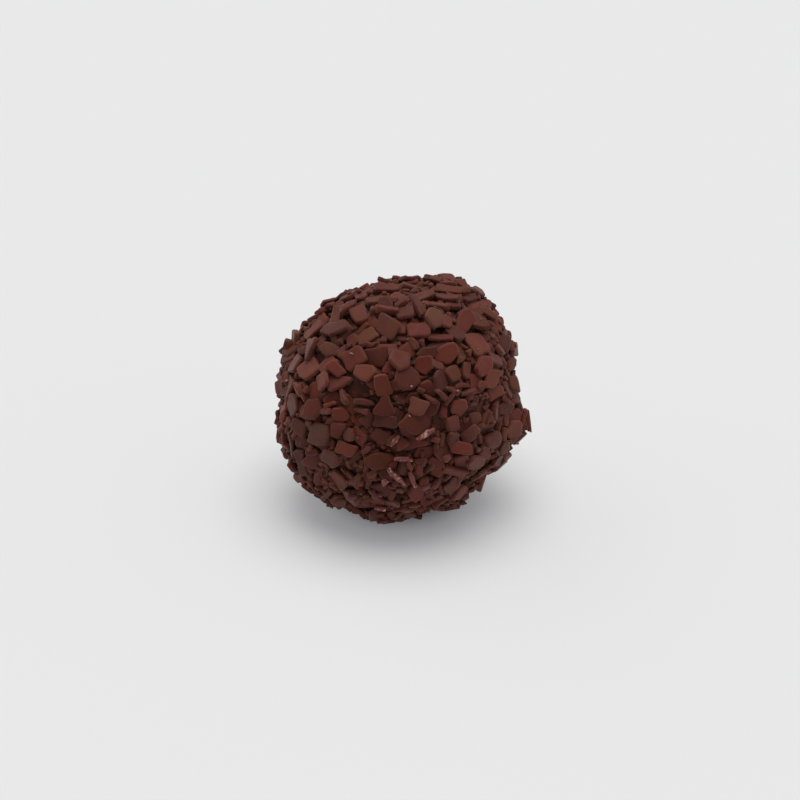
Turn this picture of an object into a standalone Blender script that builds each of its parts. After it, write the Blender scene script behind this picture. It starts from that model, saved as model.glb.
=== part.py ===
"""A brigadeiro: a ball of chocolate fudge, rolled in flat chips of chocolate.

Metres, +Z up. The sweet rests on the flat spot under it, and the origin is the middle of the
underside of its bounding box. Its front, where the chips are placed one by one, faces -Y, and +X is
to the right of somebody who looks at that front from a little above.

The chips settle one after another: each comes down on whatever already lies there, tips over
onto it and becomes the ground for the next. The small chips pressed into the fudge are the core's
own relief. The larger ones that show are fused to it.
"""

import math
from dataclasses import dataclass

import bmesh
import bpy
import numpy as np
from mathutils import Matrix

# The ball, in metres
BALL_RADIUS = 0.01655
COAT_DEPTH = 0.00180
SETTLED = 0.0010
CENTRE_ACROSS = -0.0004
CENTRE_DEEP = -0.0003

# How the front is looked at
VIEW_LIFT = math.radians(28)
VIEW_DISTANCE = 0.26

# Swells and dips: turn round the outline and lean towards the viewer in degrees, spread in
# degrees, height in metres
SWELLS = (
    (53, 0, 15, 0.0022),
    (26, 0, 10, 0.0006),
    (82, 0, 6, -0.0005),
    (99, 0, 6, -0.0013),
    (132, 0, 6, -0.0005),
    (166, 0, 9, 0.0005),
    (181, 0, 5, -0.0010),
    (218, 0, 22, 0.0016),
    (265, 0, 8, 0.0012),
    (281, 0, 5, -0.0006),
    (298, 0, 7, 0.0008),
    (311, 0, 5, -0.0005),
    (334, 0, 7, 0.0004),
    (348, 3, 9, 0.0013),
    (4, 0, 6, -0.0018),
    (70, -60, 22, 0.0006),
    (190, -55, 20, -0.0004),
    (300, -60, 22, 0.0005),
)

# The chips, in metres
RESTS_ON_SHARE = 0.84
MOST_SLOPE = 0.55
MOST_STRETCH = 1.5
KEEP_CLEAR = 0.003
CORNER_SHIFT = 0.20
CORNER_REACH = (0.90, 1.04)
SEARCHED_BEYOND = 1.2

# A length that others are divided by is never taken as less than this share of one
SMALLEST = 0.02

# Kinds of chip by number of corners, and how often each is drawn
CORNERS = (3, 4, 5, 6)
CORNER_ODDS = (0.10, 0.50, 0.32, 0.08)

# Loose layers: how many chips, shortest and longest length, narrowest and widest share of it,
# and how many places are tried for each
BED = (900, 0.0012, 0.0024, 0.55, 0.95, 6)
UNDER = (260, 0.0019, 0.0030, 0.50, 0.95, 4)
OVER = (320, 0.0017, 0.0029, 0.45, 0.95, 8)

# Chips of the front, one by one: across and up from the ball's centre, length and width in
# millimetres, turn in degrees, corners
FRONT_CHIPS = (
    (1.1, 2.6, 3.3, 3.2, 0, 8),
    (0.1, 5.0, 2.8, 2.6, 10, 5),
    (-3.2, 5.9, 2.9, 2.6, 0, 4),
    (-4.7, 3.3, 2.3, 2.8, 90, 5),
    (-2.3, 1.7, 2.5, 2.5, 15, 4),
    (-1.5, 10.0, 2.8, 2.6, 60, 4),
    (-6.5, 5.6, 3.0, 2.6, 20, 4),
    (-4.3, 8.8, 2.8, 1.8, 25, 4),
    (-8.7, 9.5, 3.9, 1.7, 5, 5),
    (-5.6, 11.7, 2.5, 1.9, 20, 4),
    (-2.9, 13.7, 2.9, 1.5, 15, 4),
    (-8.5, 11.3, 2.5, 1.5, 70, 4),
    (-12.0, 9.5, 3.2, 1.5, 28, 4),
    (-10.4, 2.2, 2.2, 2.3, 20, 4),
    (-8.9, 3.9, 1.8, 1.7, 45, 4),
    (-12.8, 3.9, 3.0, 2.3, 50, 4),
    (-12.2, 6.7, 2.3, 1.7, 80, 3),
    (-9.9, 6.7, 2.1, 1.8, 0, 5),
    (3.6, 4.8, 2.3, 2.3, 20, 5),
    (5.7, 2.4, 2.9, 2.1, 80, 6),
    (7.5, 3.3, 2.1, 1.8, 110, 4),
    (11.8, 4.4, 2.6, 2.1, 75, 5),
    (10.8, 7.5, 3.3, 2.5, 115, 4),
    (6.8, 6.2, 2.5, 2.3, 40, 5),
    (5.9, 8.1, 2.8, 1.2, -5, 4),
    (8.1, 8.8, 3.0, 1.7, -50, 4),
    (2.9, 9.5, 2.9, 2.2, -4, 4),
    (4.8, 10.7, 2.8, 2.5, 15, 5),
    (9.2, 10.7, 2.5, 2.2, 100, 5),
    (0.9, 11.6, 2.5, 1.9, 0, 4),
    (2.5, 12.6, 3.2, 1.1, -63, 4),
    (6.7, 13.7, 3.9, 0.8, -30, 4),
    (6.7, 14.6, 3.3, 1.0, -22, 4),
    (13.6, 0.6, 2.3, 1.7, 20, 4),
    (12.9, 2.6, 2.8, 1.5, 70, 4),
    (-11.2, -5.2, 3.4, 2.5, 82, 4),
    (-12.0, -1.7, 2.5, 2.2, 100, 5),
    (-8.2, -2.3, 1.9, 1.9, 20, 5),
    (-8.7, -4.5, 2.1, 1.8, 60, 4),
    (-7.3, -7.3, 2.8, 1.4, -8, 4),
    (-2.5, -5.7, 2.5, 2.2, 0, 5),
    (-1.9, -3.6, 2.6, 2.1, 0, 4),
    (-2.0, -1.2, 2.2, 2.1, 30, 3),
    (-5.6, -0.9, 2.5, 1.0, -6, 4),
    (-13.1, -8.7, 4.4, 1.1, 88, 4),
    (-14.6, -6.4, 3.7, 0.9, 82, 4),
    (-9.4, -8.4, 2.5, 1.7, -30, 4),
    (-8.5, -11.7, 3.0, 1.8, -62, 4),
    (-2.9, -9.0, 3.6, 1.8, -10, 5),
    (2.2, -3.6, 4.1, 2.8, 0, 5),
    (2.7, -1.3, 2.5, 2.2, -15, 4),
    (8.6, -1.4, 2.3, 2.3, 30, 5),
    (7.6, -3.9, 2.1, 1.8, -70, 4),
    (10.2, -5.2, 2.9, 1.8, 65, 5),
    (13.3, -6.0, 2.3, 2.1, 20, 4),
    (10.5, -9.0, 2.5, 1.9, 0, 5),
    (8.5, -7.1, 2.5, 1.5, 0, 4),
    (8.1, -10.3, 2.9, 1.5, -10, 4),
    (7.6, -12.8, 2.2, 2.1, 40, 4),
    (2.3, -13.6, 2.2, 1.9, 80, 5),
    (15.6, -4.3, 2.5, 1.8, 78, 5),
    (-7.9, 14.5, 2.5, 1.5, 12, 5),
    (-14.6, 4.8, 2.8, 1.7, 72, 4),
    (6.6, 10.6, 1.9, 1.4, 80, 4),
    (5.1, 16.0, 3.6, 1.2, -4, 4),
    (-1.7, 15.5, 3.4, 1.4, 18, 4),
    (10.8, 14.3, 1.8, 1.8, 0, 5),
    (-4.6, -3.3, 1.7, 1.7, 45, 4),
    (-7.1, -5.5, 1.9, 1.8, 0, 5),
    (7.5, -5.7, 1.7, 1.4, -20, 4),
    (5.4, -9.4, 1.9, 1.5, 0, 5),
    (-15.0, -1.2, 3.0, 1.9, 80, 5),
    (-5.0, 15.6, 1.7, 1.2, 35, 4),
    (-1.9, 13.1, 1.9, 1.4, 10, 4),
)

# Chips of the front that stand on edge, so that they show as strips: across and up from the
# ball's centre, length and width in millimetres, turn in degrees
FRONT_STRIPS = (
    (-15.1, -7.0, 3.9, 0.7, 84),
    (-13.7, -1.9, 1.8, 0.6, 80),
    (-9.8, -1.1, 1.7, 0.6, 25),
    (-9.8, -2.1, 1.9, 0.7, 10),
    (-7.6, -0.2, 1.9, 0.7, -62),
    (-6.1, 1.0, 2.2, 0.8, -75),
    (-5.1, -0.8, 2.5, 0.7, -10),
    (-5.0, -1.9, 2.2, 0.7, -12),
    (-0.8, -6.3, 1.9, 0.8, 50),
    (0.4, -8.4, 2.5, 0.7, 0),
    (-7.0, -9.6, 1.7, 0.7, 85),
    (2.9, 14.5, 4.1, 0.8, 8),
    (5.9, 13.0, 2.8, 0.7, -25),
    (1.5, 15.7, 2.8, 0.8, 5),
    (-3.3, 11.6, 2.1, 0.7, 12),
    (-7.2, 12.3, 3.3, 0.7, 62),
    (-1.7, 11.6, 2.8, 0.7, 8),
    (0.6, 13.0, 2.2, 0.8, 18),
    (13.9, -2.1, 3.0, 0.8, 82),
    (14.7, -3.7, 2.8, 0.7, 76),
    (16.8, -2.9, 3.6, 1.0, 84),
    (15.8, -5.1, 2.2, 0.8, 60),
    (5.7, 0.6, 1.7, 0.7, -35),
    (9.9, 1.0, 1.7, 0.7, 15),
    (11.7, 1.5, 1.5, 0.7, 70),
    (-11.3, -10.9, 2.5, 0.8, 70),
    (-9.6, -13.1, 2.2, 0.8, 50),
    (-4.5, -12.3, 1.9, 0.7, 80),
    (4.3, -10.1, 2.2, 0.7, 60),
    (5.8, -14.9, 2.5, 0.8, 15),
    (-5.4, -14.9, 2.5, 0.8, -20),
    (-0.1, -15.8, 2.2, 0.8, 10),
)

# The solid
SEED = 11
RAYS = 40000
CORE_POINTS = 420
CORE_SMOOTHED_OVER = 0.0009
HIDDEN_BED_DEPTH = 0.0008
FUSED_CHIPS = 295
ROOT_DEPTH = 0.0004
ROOT_WIDTH = 0.8
FOOT_ANGLE = math.radians(20)
FLOOR_BLOCK = 0.03
CHOCOLATE = (0.066, 0.024, 0.018, 1.0)
CHOCOLATE_ROUGHNESS = 0.55
SHARP_EDGE = math.radians(30)

TO_THE_RIGHT = np.array((1.0, 0.0, 0.0))
UPWARDS = np.array((0.0, math.sin(VIEW_LIFT), math.cos(VIEW_LIFT)))
TO_THE_VIEWER = np.array((0.0, -math.cos(VIEW_LIFT), math.sin(VIEW_LIFT)))
BALL_CENTRE = np.array((CENTRE_ACROSS, CENTRE_DEEP, BALL_RADIUS - SETTLED))


@dataclass
class Bedding:
    """How chips lie: thinnest and thickest, how deep they press in, and how much chance tips them."""

    thinnest: float
    thickest: float
    pressed_in: float
    lean: float


LOOSE = Bedding(0.00052, 0.00080, 0.00012, 0.16)
PLACED = Bedding(0.00052, 0.00080, 0.00012, 0.045)
ON_EDGE = Bedding(0.00085, 0.00115, 0.00050, 0.06)


@dataclass
class Chip:
    """A chip where it has settled, seen from the ball's centre."""

    underside: np.ndarray
    normal: np.ndarray
    thickness: float


def unit(vector):
    return vector / np.linalg.norm(vector)


def spread_directions(count):
    """Unit vectors spread evenly over a sphere by the golden angle, one in each row."""
    index = np.arange(count) + 0.5
    rise = 1 - 2 * index / count
    turn = math.pi * (3 - math.sqrt(5)) * index
    level = np.sqrt(1 - rise**2)
    return np.column_stack((level * np.cos(turn), level * np.sin(turn), rise))


def ball_reach(directions):
    """How far the finished sweet reaches from the ball's centre in each direction."""
    reach = np.full(len(directions), BALL_RADIUS)
    for turn, lean, spread, height in SWELLS:
        turn, lean = math.radians(turn), math.radians(lean)
        outline = math.cos(turn) * TO_THE_RIGHT + math.sin(turn) * UPWARDS
        middle = math.cos(lean) * outline + math.sin(lean) * TO_THE_VIEWER
        angle = np.arccos(np.clip(directions @ middle, -1, 1))
        reach += height * np.exp(-0.5 * (angle / math.radians(spread)) ** 2)
    return reach


def axes_on_the_ball(towards):
    """Two axes that lie against the ball at a direction: to the viewer's right and upwards there."""
    across = np.cross(UPWARDS, towards)
    if np.linalg.norm(across) < SMALLEST:
        across = np.cross(TO_THE_VIEWER, towards)
    across = unit(across)
    return across, np.cross(towards, across)


def cut_outline(draws, length, width, corners):
    """Corners of a chip on a flat table, anticlockwise: an uneven polygon of this length and width."""
    turn = np.arange(corners) + 0.5 + draws.uniform(-CORNER_SHIFT, CORNER_SHIFT, corners)
    turn *= 2 * math.pi / corners
    out = draws.uniform(*CORNER_REACH, corners) / math.cos(math.pi / corners)
    return 0.5 * np.column_stack((length * out * np.cos(turn), width * out * np.sin(turn)))


def turned(outline, angle):
    cos, sin = math.cos(angle), math.sin(angle)
    return outline @ np.array(((cos, sin), (-sin, cos)))


def seen_at(right, up):
    """Direction from the ball's centre to the point of its outside that is seen at this place."""
    eye = TO_THE_VIEWER * VIEW_DISTANCE
    ray = unit(right * TO_THE_RIGHT + up * UPWARDS - eye)
    nearest = -(eye @ ray)
    miss = eye @ eye - nearest**2
    return unit(eye + (nearest - math.sqrt(max(BALL_RADIUS**2 - miss, 0.0))) * ray)


def laid_against_the_ball(towards, seen, right, up):
    """An outline as it is seen, drawn out where the ball turns away, in the axes on the ball there."""
    across, along = axes_on_the_ball(towards)
    away = unit(np.array((right, up)))
    outwards = away[0] * TO_THE_RIGHT + away[1] * UPWARDS
    outwards = unit(outwards - (outwards @ towards) * towards)
    sideways = np.cross(towards, outwards)
    stretch = min(1 / max(towards @ TO_THE_VIEWER, SMALLEST), MOST_STRETCH)
    far = stretch * (seen @ away)
    beside = seen @ np.array((-away[1], away[0]))
    points = far[:, None] * outwards + beside[:, None] * sideways
    return np.column_stack((points @ across, points @ along))


class Coat:
    """How far the sweet reaches in many directions from the ball's centre, as chips land on it."""

    def __init__(self):
        self.rays = spread_directions(RAYS)
        self.fudge = ball_reach(self.rays) - COAT_DEPTH
        self.reach = self.fudge.copy()
        self.on_top = np.full(RAYS, -1)
        self.kept_clear = np.zeros(RAYS, bool)
        self.chips = []

    def under(self, towards, outline):
        """Numbers of the rays that an outline covers when it lies against the ball."""
        across, along = axes_on_the_ball(towards)
        widest = np.hypot(outline[:, 0], outline[:, 1]).max()
        near = np.flatnonzero(self.rays @ towards > math.cos(SEARCHED_BEYOND * widest / BALL_RADIUS))
        points = self.rays[near] * self.reach[near, None]
        right, up = points @ across, points @ along
        inside = np.ones(len(near), bool)
        for start, end in zip(outline, np.roll(outline, -1, axis=0)):
            side = end - start
            inside &= side[0] * (up - start[1]) > side[1] * (right - start[0])
        return near[inside]

    def settle(self, towards, outline, bedding, draws):
        """Lets a chip come down on what is there, tip over onto it, and become the ground there."""
        thickness = draws.uniform(bedding.thinnest, bedding.thickest)
        across, along = axes_on_the_ball(towards)
        covered = self.under(towards, outline)
        points = self.rays[covered] * self.reach[covered, None]
        places = np.column_stack((points @ across, points @ along, np.ones(len(covered))))
        slope = np.linalg.lstsq(places, points @ towards, rcond=None)[0][:2]
        slope += draws.normal(0, bedding.lean, 2)
        slope *= min(1.0, MOST_SLOPE / max(math.hypot(*slope), SMALLEST))
        normal = unit(towards - slope[0] * across - slope[1] * along)
        level = np.quantile(points @ normal, RESTS_ON_SHARE) - bedding.pressed_in
        top = (level + thickness) / (self.rays[covered] @ normal)
        higher = covered[top > self.reach[covered]]
        self.on_top[higher] = len(self.chips)
        self.reach[covered] = np.maximum(self.reach[covered], top)
        flat = outline[:, :1] * across + outline[:, 1:] * along
        drop = (level - flat @ normal) / (towards @ normal)
        self.chips.append(Chip(flat + drop[:, None] * towards, normal, thickness))


def lay_in_place(coat, draws, right, up, length, width, turn, corners, bedding):
    """Lays a chip of the front where it is seen. The first four sizes are in millimetres."""
    right, up, length, width = (value / 1000 for value in (right, up, length, width))
    towards = seen_at(right, up)
    seen = turned(cut_outline(draws, length, width, corners), math.radians(turn))
    outline = laid_against_the_ball(towards, seen, right, up)
    coat.kept_clear[coat.under(towards, outline)] = True
    coat.settle(towards, outline, bedding, draws)


def lay_loose(coat, draws, layer):
    """Lays a loose layer: each chip goes where the coat is lowest of a few places tried."""
    count, shortest, longest, narrow, wide, tries = layer
    for _ in range(count):
        length = draws.uniform(shortest, longest)
        width = length * draws.uniform(narrow, wide)
        outline = cut_outline(draws, length, width, draws.choice(CORNERS, p=CORNER_ODDS))
        outline = turned(outline, draws.uniform(0, 2 * math.pi))
        lowest = math.inf
        for towards in draws.normal(size=(tries, 3)):
            towards = unit(towards)
            covered = coat.under(towards, outline)
            depth = (coat.reach[covered] - coat.fudge[covered]).mean()
            depth += KEEP_CLEAR * coat.kept_clear[covered].mean()
            if depth < lowest:
                lowest, chosen = depth, towards
        coat.settle(chosen, outline, LOOSE, draws)


def largest_that_show(coat):
    """Numbers of the chips to fuse: those that show the most."""
    shown = np.bincount(coat.on_top[coat.on_top >= 0], minlength=len(coat.chips))
    return np.argsort(-shown, kind="stable")[:FUSED_CHIPS]


def core_mesh(coat, fused):
    """The fudge with the small chips pressed into it and its flattened foot, as one closed ball."""
    ground = np.where(np.isin(coat.on_top, fused), coat.fudge + HIDDEN_BED_DEPTH, coat.reach)
    ground[coat.rays[:, 2] < -math.cos(FOOT_ANGLE)] = BALL_RADIUS
    directions = spread_directions(CORE_POINTS)
    core = bmesh.new()
    for towards in directions:
        core.verts.new(towards)
    bmesh.ops.convex_hull(core, input=core.verts)
    for corner, towards in zip(core.verts, directions):
        near = coat.rays @ towards > math.cos(CORE_SMOOTHED_OVER / BALL_RADIUS)
        corner.co *= ground[near].mean()
    bmesh.ops.recalc_face_normals(core, faces=core.faces)
    mesh = bpy.data.meshes.new("core")
    core.to_mesh(mesh)
    core.free()
    return mesh


def rooted_chip(coat, chip):
    """A chip as a solid that narrows down into the core, so that the two fuse."""
    upper = chip.underside + chip.thickness * chip.normal
    middle = chip.underside.mean(axis=0)
    lower = []
    for corner in middle + ROOT_WIDTH * (chip.underside - middle):
        towards = unit(corner)
        nearest = np.argmax(coat.rays @ towards)
        lower.append(towards * (coat.fudge[nearest] - ROOT_DEPTH))
    solid = bmesh.new()
    top = [solid.verts.new(corner) for corner in upper]
    bottom = [solid.verts.new(corner) for corner in lower]
    solid.faces.new(top)
    walls = [solid.faces.new(bottom[::-1])]
    for k in range(len(top)):
        walls.append(solid.faces.new((bottom[k - 1], bottom[k], top[k], top[k - 1])))
    bmesh.ops.triangulate(solid, faces=walls)
    mesh = bpy.data.meshes.new("chip")
    solid.to_mesh(mesh)
    solid.free()
    return mesh


def floor_mesh():
    """A block whose top is the surface that the sweet stands on."""
    block = bmesh.new()
    bmesh.ops.create_cube(block, size=FLOOR_BLOCK)
    bmesh.ops.translate(block, verts=block.verts, vec=(0, 0, -FLOOR_BLOCK / 2))
    mesh = bpy.data.meshes.new("floor")
    block.to_mesh(mesh)
    block.free()
    return mesh


def apply_boolean(obj, operation, others):
    """Joins meshes to an object, or cuts them away, and makes the result the object's own mesh."""
    group = bpy.data.collections.new(operation)
    bpy.context.scene.collection.children.link(group)
    for mesh in others:
        group.objects.link(bpy.data.objects.new(mesh.name, mesh))
    change = obj.modifiers.new(operation, "BOOLEAN")
    change.operation = operation
    change.operand_type = "COLLECTION"
    change.collection = group
    change.solver = "EXACT"
    graph = bpy.context.evaluated_depsgraph_get()
    obj.data = bpy.data.meshes.new_from_object(obj.evaluated_get(graph))
    obj.modifiers.clear()
    for other in list(group.objects):
        bpy.data.objects.remove(other)
    bpy.data.collections.remove(group)


def keep_outer_skin(mesh):
    """Keeps the largest connected surface: a sealed hollow is filled and a loose scrap dropped."""
    skin = bmesh.new()
    skin.from_mesh(mesh)
    waiting = set(skin.verts)
    pieces = []
    while waiting:
        start = waiting.pop()
        piece, reached = [start], [start]
        while reached:
            corner = reached.pop()
            for edge in corner.link_edges:
                other = edge.other_vert(corner)
                if other in waiting:
                    waiting.remove(other)
                    piece.append(other)
                    reached.append(other)
        pieces.append(piece)
    pieces.sort(key=len)
    for piece in pieces[:-1]:
        bmesh.ops.delete(skin, geom=piece, context="VERTS")
    skin.to_mesh(mesh)
    skin.free()


def chocolate():
    """Dark milk chocolate with a satin face."""
    material = bpy.data.materials.new("chocolate chips")
    material.use_nodes = True
    shader = material.node_tree.nodes["Principled BSDF"]
    shader.inputs["Base Color"].default_value = CHOCOLATE
    shader.inputs["Roughness"].default_value = CHOCOLATE_ROUGHNESS
    shader.inputs["Metallic"].default_value = 0.0
    return material


def main():
    for obj in list(bpy.data.objects):
        bpy.data.objects.remove(obj)
    draws = np.random.default_rng(SEED)
    coat = Coat()
    lay_loose(coat, draws, BED)
    lay_loose(coat, draws, UNDER)
    for chip in FRONT_CHIPS:
        lay_in_place(coat, draws, *chip, PLACED)
    for strip in FRONT_STRIPS:
        lay_in_place(coat, draws, *strip, 4, ON_EDGE)
    lay_loose(coat, draws, OVER)
    fused = largest_that_show(coat)
    sweet = bpy.data.objects.new("brigadeiro", core_mesh(coat, fused))
    bpy.context.scene.collection.objects.link(sweet)
    apply_boolean(sweet, "UNION", [rooted_chip(coat, coat.chips[number]) for number in fused])
    sweet.data.transform(Matrix.Translation(BALL_CENTRE))
    apply_boolean(sweet, "DIFFERENCE", [floor_mesh()])
    keep_outer_skin(sweet.data)
    sweet.data.materials.clear()
    sweet.data.materials.append(chocolate())
    sweet.data.shade_smooth()
    sweet.data.set_sharp_from_angle(angle=SHARP_EDGE)


if __name__ == "__main__":
    main()
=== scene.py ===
"""A brigadeiro: soft chocolate fudge rolled in flat chips, standing on a plain pale floor.

The ball of fudge is coated chip by chip. Each chip comes down on whatever already lies there, tips
over onto it and becomes the ground for the next. The solid has only the chips that show most, in
the same places.
Slivers, slats, crumbs, shiny sticks and pale specks lie among them and on top.
"""

import logging
import math
from dataclasses import dataclass, field, replace
from enum import Enum
from typing import Any

import bmesh
import bpy
import numpy as np
from mathutils import Matrix, Vector
from mathutils.bvhtree import BVHTree


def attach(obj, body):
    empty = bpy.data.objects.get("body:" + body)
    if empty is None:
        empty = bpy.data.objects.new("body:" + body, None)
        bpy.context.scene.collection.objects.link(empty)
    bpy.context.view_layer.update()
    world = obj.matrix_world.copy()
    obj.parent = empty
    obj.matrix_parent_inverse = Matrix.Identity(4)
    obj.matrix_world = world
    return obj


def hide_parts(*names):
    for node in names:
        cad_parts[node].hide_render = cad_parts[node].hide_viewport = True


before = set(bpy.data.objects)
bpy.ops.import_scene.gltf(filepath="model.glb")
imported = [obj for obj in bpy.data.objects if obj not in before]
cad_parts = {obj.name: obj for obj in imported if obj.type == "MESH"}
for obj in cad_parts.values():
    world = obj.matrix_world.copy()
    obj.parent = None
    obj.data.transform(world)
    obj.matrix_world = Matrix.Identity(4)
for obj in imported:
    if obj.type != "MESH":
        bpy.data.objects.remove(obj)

log = logging.getLogger("brigadeiro")

Colour = tuple[float, float, float]

MM = 0.001
NODE = "brigadeiro"
BODY = "root"

# The side turned to the viewer is looked at from this far above and away
VIEW_LIFT = math.radians(28)
VIEW_DISTANCE = 0.26
TO_THE_RIGHT = np.array((1.0, 0.0, 0.0))
UPWARDS = np.array((0.0, math.sin(VIEW_LIFT), math.cos(VIEW_LIFT)))
TO_THE_VIEWER = np.array((0.0, -math.cos(VIEW_LIFT), math.sin(VIEW_LIFT)))

# Emission colour of the floor inside its painted contact shadow
NO_LIGHT: Colour = (0.0, 0.0, 0.0)

# Where the directions that a rule is built from nearly meet, another rule takes over
POLE = 0.02

# Nothing is divided by less than this
SMALLEST = 0.02

# Each direction of an even spread is turned on from the last by this much
GOLDEN_ANGLE = math.pi * (3 - math.sqrt(5))
WHOLE_TURN = 2 * math.pi


class Cut(Enum):
    """How a chip was broken or cut, by its number of corners."""

    TRIANGLE = 3
    SQUARE = 4
    FIVE_SIDED = 5
    SIX_SIDED = 6
    ROUND = 8


class Look(Enum):
    """How light and how brown a chip is, each from 0 to 1."""

    MIXED = None
    DARK = (0.00, 0.60)
    DUSKY = (0.12, 0.30)
    LIGHT = (0.95, 0.55)
    ROSY = (0.95, 0.25)
    RED = (0.60, 0.02)


def unit(vector: np.ndarray) -> np.ndarray:
    """A vector of length one in the same direction."""
    return vector / np.linalg.norm(vector)


def spread_directions(count: int) -> np.ndarray:
    """Unit vectors spread evenly over a sphere by the golden angle.

    Args:
        count: How many directions to make.

    Returns:
        An array with one direction in each row.
    """
    index = np.arange(count) + 0.5
    rise = 1 - 2 * index / count
    turn = GOLDEN_ANGLE * index
    level = np.sqrt(1 - rise**2)
    return np.column_stack((level * np.cos(turn), level * np.sin(turn), rise))


def axes_on_the_ball(towards: np.ndarray) -> tuple[np.ndarray, np.ndarray]:
    """Two axes that lie against the ball at a direction.

    Args:
        towards: Unit vector from the ball's centre.

    Returns:
        The axis to the viewer's right there, and the one upwards there.
    """
    across = np.cross(UPWARDS, towards)
    if np.linalg.norm(across) < POLE:
        across = np.cross(TO_THE_VIEWER, towards)
    across = unit(across)
    return across, np.cross(towards, across)


def turned(outline: np.ndarray, angle: float) -> np.ndarray:
    """A flat outline turned anticlockwise about its origin by an angle in radians."""
    cos, sin = math.cos(angle), math.sin(angle)
    return outline @ np.array(((cos, sin), (-sin, cos)))


def in_scene(name: str, data: bpy.types.ID) -> bpy.types.Object:
    """Makes an object of a mesh, a lamp or a camera and puts it in the scene.

    Args:
        name: The object's name.
        data: What it shows.

    Returns:
        The object.
    """
    made = bpy.data.objects.new(name, data)
    bpy.context.scene.collection.objects.link(made)
    return made


@dataclass(frozen=True)
class Swell:
    """A broad rise or dip of the ball.

    Attributes:
        turn: Place round the outline that the viewer sees, in degrees from the right.
        lean: How far it leans from that outline towards the viewer, in degrees.
        spread: How wide it is, in degrees.
        height: How far it rises, in metres.
    """

    turn: float
    lean: float
    spread: float
    height: float

    def middle(self) -> np.ndarray:
        """Finds the middle of the swell.

        Returns:
            The direction to it from the ball's centre.
        """
        turn, lean = math.radians(self.turn), math.radians(self.lean)
        outline = math.cos(turn) * TO_THE_RIGHT + math.sin(turn) * UPWARDS
        return math.cos(lean) * outline + math.sin(lean) * TO_THE_VIEWER

    def rise(self, directions: np.ndarray) -> np.ndarray:
        """How far the swell lifts the ball in each direction."""
        angle = np.arccos(np.clip(directions @ self.middle(), -1, 1))
        return self.height * np.exp(-0.5 * (angle / math.radians(self.spread)) ** 2)


@dataclass(frozen=True)
class BallForm:
    """The uneven ball that was rolled by hand.

    Attributes:
        radius: From the centre out to the faces of the chips.
        settled: How much lower the ball sits than a round one would, for its flattened foot.
        coat_depth: How far the fudge lies below the finished outside.
        centre_across: Where the ball's centre lies along X.
        centre_deep: Where the ball's centre lies along Y.
        swells: The rises and dips by which the ball isn't round.
    """

    radius: float = 0.01655
    settled: float = 0.0010
    coat_depth: float = 0.00180
    centre_across: float = -0.0004
    centre_deep: float = -0.0003
    swells: tuple[Swell, ...] = (
        Swell(53, 0, 15, 0.0022),
        Swell(26, 0, 10, 0.0006),
        Swell(82, 0, 6, -0.0005),
        Swell(99, 0, 6, -0.0013),
        Swell(132, 0, 6, -0.0005),
        Swell(166, 0, 9, 0.0005),
        Swell(181, 0, 5, -0.0010),
        Swell(218, 0, 22, 0.0016),
        Swell(265, 0, 8, 0.0012),
        Swell(281, 0, 5, -0.0006),
        Swell(298, 0, 7, 0.0008),
        Swell(311, 0, 5, -0.0005),
        Swell(334, 0, 7, 0.0004),
        Swell(348, 3, 9, 0.0013),
        Swell(4, 0, 6, -0.0018),
        Swell(70, -60, 22, 0.0006),
        Swell(190, -55, 20, -0.0004),
        Swell(300, -60, 22, 0.0005),
    )

    def centre(self) -> np.ndarray:
        """The ball's centre above the floor."""
        return np.array((self.centre_across, self.centre_deep, self.radius - self.settled))

    def floor(self) -> float:
        """Height of the floor, seen from the ball's centre."""
        return -self.centre()[2]

    def reach(self, directions: np.ndarray) -> np.ndarray:
        """How far the finished sweet reaches from its centre.

        Args:
            directions: Unit vectors from the centre.

        Returns:
            The distance in each direction.
        """
        reach = np.full(len(directions), self.radius)
        for swell in self.swells:
            reach += swell.rise(directions)
        return reach

    def fudge_reach(self, directions: np.ndarray) -> np.ndarray:
        """How far the bare fudge reaches from the centre in each direction."""
        return self.reach(directions) - self.coat_depth

    def seen_at(self, right: float, up: float) -> np.ndarray:
        """Direction to the point of the outside that the viewer sees at a place.

        Args:
            right: How far to the right of the ball's centre the place is seen.
            up: How far above the ball's centre it is seen.

        Returns:
            A unit vector from the ball's centre.
        """
        eye = TO_THE_VIEWER * VIEW_DISTANCE
        ray = unit(right * TO_THE_RIGHT + up * UPWARDS - eye)
        nearest = -(eye @ ray)
        miss = eye @ eye - nearest**2
        return unit(eye + (nearest - math.sqrt(max(self.radius**2 - miss, 0.0))) * ray)


@dataclass(frozen=True)
class Bedding:
    """How chips lie.

    Attributes:
        thinnest: Thickness of the thinnest chip.
        thickest: Thickness of the thickest chip.
        pressed_in: How deep a chip presses into what it lies on.
        lean: How strongly chance tips it, as a slope.
        rests_above: Share of the ground under a chip that lies lower than its rest.
    """

    thinnest: float
    thickest: float
    pressed_in: float
    lean: float
    rests_above: float = 0.84


# How each kind of chip lies
LOOSE = Bedding(0.00052, 0.00080, 0.00012, 0.16)
PLACED = Bedding(0.00052, 0.00080, 0.00012, 0.045)
ON_EDGE = Bedding(0.00085, 0.00115, 0.00050, 0.06)
AS_SLATS = Bedding(0.00050, 0.00080, 0.00015, 0.25, 0.65)
AS_CRUMBS = Bedding(0.00032, 0.00058, 0.00008, 0.35, 0.50)
STUCK_ON = Bedding(0.00050, 0.00070, 0.00010, 0.10, 0.70)
ON_TOP = Bedding(0.00055, 0.00075, 0.00006, 0.10)
WEDGED_IN = Bedding(0.00110, 0.00130, 0.0, 0.05, 0.10)
AS_SPECKS = Bedding(0.00020, 0.00032, 0.00004, 0.20, 0.20)


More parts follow.
